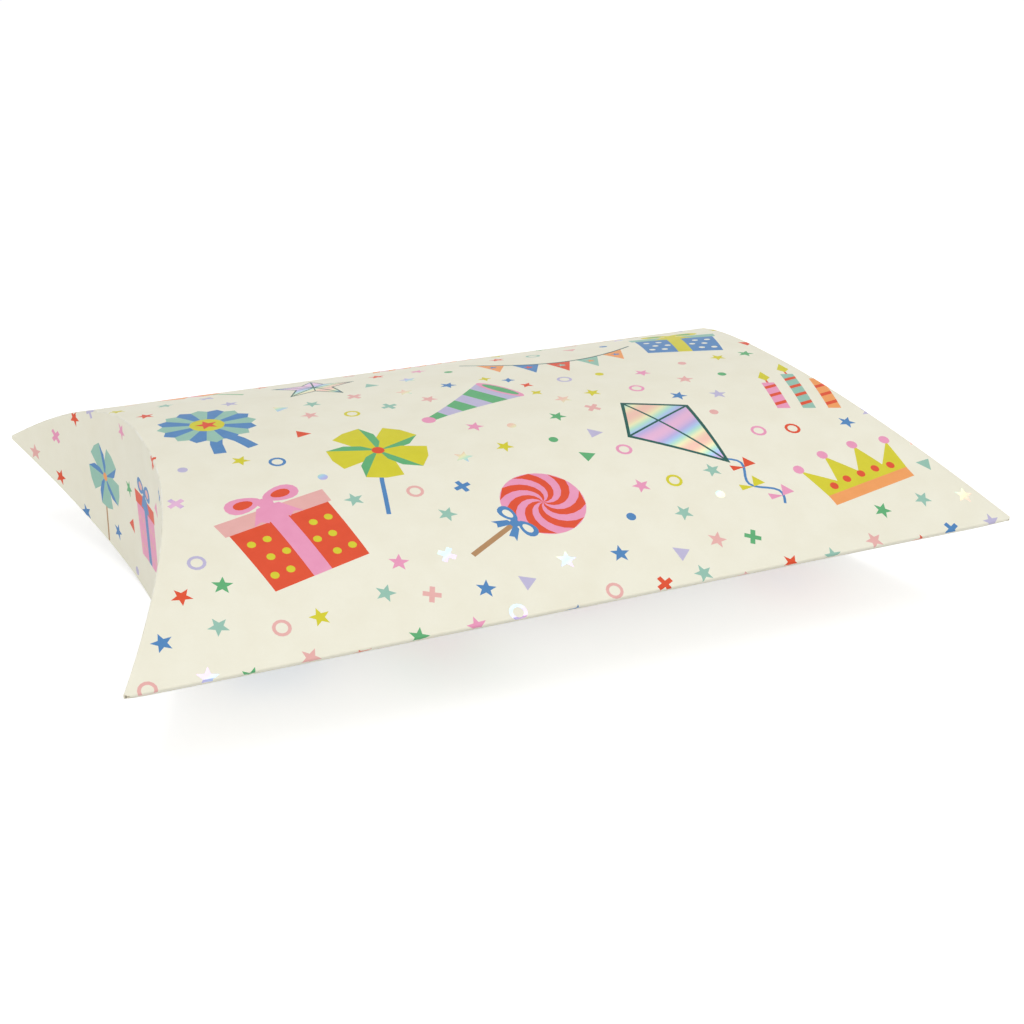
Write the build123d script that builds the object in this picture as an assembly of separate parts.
from build123d import *
import os
from math import asin, cos, sin, sqrt, tan

# A pillow box: one sheet of card, creased, glued into a tube and closed by curved flaps.
# X runs along the box, Y across it from the near edge to the far one, and +Z is up. The origin
# is on the floor, under its middle.
# The top and bottom panels are arched along Y. Each end flap is arched in plan by the same
# curve, so every crease lies in a plane at 45 degrees, and the card bends but never stretches.

# Driving dimensions, in millimetres
box_length = 350.0        # over the four corner tips
box_width = 248.5         # over the long edges, before the folds round them off
box_height = 72.5         # over both crowns
crown_flat = 14.0         # strip along each crown that is flat, and on which the box rests
board = 0.5               # thickness of the card
fold_inside = 0.15        # inside radius of the two long folds
fold_land = 3.0           # width of each leg of the card that belongs to a side fold
corner_radius = 3.0       # the four tips, seen from above
glue_flap_width = 16.0    # from the sharp edge to the free edge of the glued strip
glue_thickness = 0.55     # between the glued strip and the top panel
glue_fit = 0.22           # left free on each face of the glue
glue_margin = 2.5         # bare card on each side of the line of glue
crease_gap = 0.3          # between a flap and its panel, across the crease
layer_gap = 0.35          # between an outer flap and the inner flap behind it
flap_end_gap = 0.5        # between the inner layers and whatever ends behind them
inner_flap_rise = 9.0     # the inner flap's free edge crests this far over the middle height
inner_flap_drop = 1.0     # and ends this far under it at the two tips
overrun = 5.0             # how far a cutting shape reaches past what it cuts

# The curve that panels and flaps share: a flat crown and a tangent arc down to each edge
half_length = box_length / 2
half_height = box_height / 2
half_width = box_width / 2
half_flat = crown_flat / 2
arc_run = half_width - half_flat
arc_radius = (arc_run**2 + half_height**2) / (2 * half_height)
edge_angle = asin(arc_run / arc_radius)
arc_centre = half_height - arc_radius

# Where the long edges end once they are folded or cut
fold_radius = board + fold_inside
fold_loss = fold_radius * (1 / sin(edge_angle) - 1)
edge_y = half_width - fold_loss
fold_y = half_width - fold_land

# The inner flap stands this far behind the outer one, along X
set_back = (board + layer_gap) / cos(edge_angle)
inner_layers = set_back + (board + flap_end_gap) / cos(edge_angle)

middle_plane = Plane.XY.offset(half_height)
section_plane = Plane(origin=(0, 0, half_height), x_dir=(0, 1, 0), z_dir=(1, 0, 0))


def dome(inset=0.0, stretch=1.0):
    """The area under the shared curve, moved inward by inset; stretch multiplies its height."""
    radius = arc_radius - inset
    base = arc_centre * stretch
    crown = (half_height - inset) * stretch
    left = (-half_flat, base)
    right = (half_flat, base)
    outline = [
        EllipticalCenterArc(right, radius, radius * stretch, 0, arc_size=90),
        Line((half_flat, crown), (-half_flat, crown)),
        EllipticalCenterArc(left, radius, radius * stretch, 90, arc_size=90),
        Line((-half_flat - radius, base), (half_flat + radius, base)),
    ]
    return make_face(Curve() + outline)


def underside(face):
    """The same area hung under the middle height."""
    return mirror(face, about=Plane.XZ)


def lens(top_inset, bottom_inset):
    """Cross-section of the tube, with each side moved inward by its own inset."""
    return dome(top_inset) & underside(dome(bottom_inset))


def window(y_from, y_to, z_from=-half_height - overrun, z_to=half_height + overrun):
    """A rectangle of the cross-section that picks out part of the card."""
    width = y_to - y_from
    height = z_to - z_from
    return Pos((y_from + y_to) / 2, (z_from + z_to) / 2) * Rectangle(width, height)


def along_box(section):
    """A cross-section run out to the full length of the box."""
    return extrude(section_plane * section, half_length, both=True)


def round_edge(face, side, radius):
    """Round the sharp corner of a lens on one side, -1 for the near one and 1 for the far one."""
    corner = face.vertices().sort_by(Axis.X)[0 if side < 0 else -1]
    return fillet(corner, radius)


def crease_cut(end, layer, shift):
    """Everything beyond the creases of one end, as a prism square to the plane they lie in.

    end is -1 or 1 along X, layer is 1 for the top panel and -1 for the bottom one, and shift
    moves the crease towards the middle of the box."""
    tip = (end * (half_length - shift), 0, half_height)
    plane = Plane(origin=tip, x_dir=(0, 1, 0), z_dir=(1, 0, end * layer))
    outline = dome(stretch=sqrt(2))
    rises = plane.y_dir.Z * layer > 0
    if not rises:
        outline = underside(outline)
    return extrude(plane * outline, box_height, both=True)


def end_prism(end, shift, thickness=0.0):
    """Everything beyond an upright curved wall at one end, its inner face moved in by thickness."""
    tip = (end * (half_length - shift), 0, 0)
    plane = Plane(origin=tip, x_dir=(0, 1, 0), z_dir=(0, 0, 1))
    outline = dome(-thickness)
    if plane.y_dir.X * end > 0:
        outline = underside(outline)
    return extrude(plane * outline, box_height)


def rounded_plan():
    """The outline of the box from above, with its four tips rounded."""
    plan = middle_plane * RectangleRounded(box_length, 2 * edge_y, corner_radius)
    return extrude(plan, half_height + overrun, both=True)


def edge_plan(side, end_margin=0.0):
    """A strip along one long edge, seen from above, that narrows clear of the curved flaps."""
    depth = glue_flap_width + overrun
    outer = half_length - inner_layers - end_margin
    inner = outer - depth * tan(edge_angle)
    edge = side * half_width
    free = side * (half_width - depth)
    corners = [(-outer, edge), (outer, edge), (inner, free), (-inner, free)]
    plan = middle_plane * make_face(Polyline(*corners, close=True))
    return extrude(plan, half_height, both=True)


def cut_ends(card, layer, shift):
    """Cut a panel at the crease of each end."""
    for end in (-1, 1):
        card -= crease_cut(end, layer, shift)
    return card


# Panels
def make_top_panel():
    """The arched upper panel. Its far long edge is cut square and lies over the glued strip."""
    section = (dome() - dome(board)) & window(-fold_y, half_width)
    return cut_ends(along_box(section), 1, 0) & rounded_plan()


def make_bottom_panel():
    """The arched lower panel. Its creases are set back, so that the inner flaps start inside."""
    section = underside(dome() - dome(board)) & window(-fold_y, fold_y)
    return cut_ends(along_box(section), -1, set_back) & rounded_plan()


# Long edges
def make_side_fold():
    """The near edge, where the card turns from the top panel into the bottom one."""
    outside = round_edge(lens(0, 0), -1, fold_radius)
    inside = round_edge(lens(board, board), -1, fold_inside)
    section = (outside - inside) & window(-half_width, -fold_y)
    return along_box(section) & edge_plan(-1)


def make_glue_flap():
    """The far fold and the strip beyond it, turned in under the top panel to be glued."""
    top = board + glue_thickness
    outside = round_edge(lens(top, 0), 1, fold_radius)
    inside = round_edge(lens(top + board, board), 1, fold_inside)
    fold = window(fold_y, half_width)
    strip = window(half_width - glue_flap_width, half_width, z_from=0)
    section = (outside - inside) & (fold + strip)
    return along_box(section) & edge_plan(1)


def make_glue_line():
    """The line of glue between the strip and the top panel."""
    start = half_width - glue_flap_width + glue_margin
    stop = fold_y - glue_margin
    outer = dome(board + glue_fit)
    inner = dome(board + glue_thickness - glue_fit)
    section = (outer - inner) & window(start, stop)
    return along_box(section) & edge_plan(1, glue_margin)


# End flaps
def upright_card(end, shift):
    """Card standing on its curve at one end, as tall as the box."""
    return end_prism(end, shift, board) - end_prism(end, shift)


def make_outer_flap(end):
    """Hangs from the top crease down to the bottom one, and hides the inner flap."""
    card = upright_card(end, 0) & along_box(lens(0, 0)) & rounded_plan()
    below_crease = Pos(0, 0, -crease_gap * sqrt(2)) * crease_cut(end, 1, 0)
    return card & below_crease


def make_inner_flap(end):
    """Stands on the bottom crease behind the outer flap, with a bowed free edge."""
    tip = fold_y - crease_gap
    foot = -half_height - overrun
    free_edge = ThreePointArc((-tip, -inner_flap_drop), (0, inner_flap_rise), (tip, -inner_flap_drop))
    sides = Polyline((tip, -inner_flap_drop), (tip, foot), (-tip, foot), (-tip, -inner_flap_drop))
    outline = make_face(Curve() + [free_edge, sides])
    card = upright_card(end, set_back) & along_box(lens(0, 0) & outline)
    above_crease = Pos(0, 0, crease_gap * sqrt(2)) * crease_cut(end, -1, set_back)
    return card & above_crease


parts = {
    "top_panel": make_top_panel(),
    "bottom_panel": make_bottom_panel(),
    "side_fold": make_side_fold(),
    "glue_flap": make_glue_flap(),
    "glue_line": make_glue_line(),
}
for side, end in (("left", -1), ("right", 1)):
    parts[side + "_outer_flap"] = make_outer_flap(end)
    parts[side + "_inner_flap"] = make_inner_flap(end)

os.makedirs("parts", exist_ok=True)
for name, shape in parts.items():
    solids = shape.solids()
    export_step(solids[0] if len(solids) == 1 else Compound(solids), f"parts/{name}.step")
    print(name, len(solids), "solid", round(shape.volume, 1), "mm3", shape.bounding_box().size)
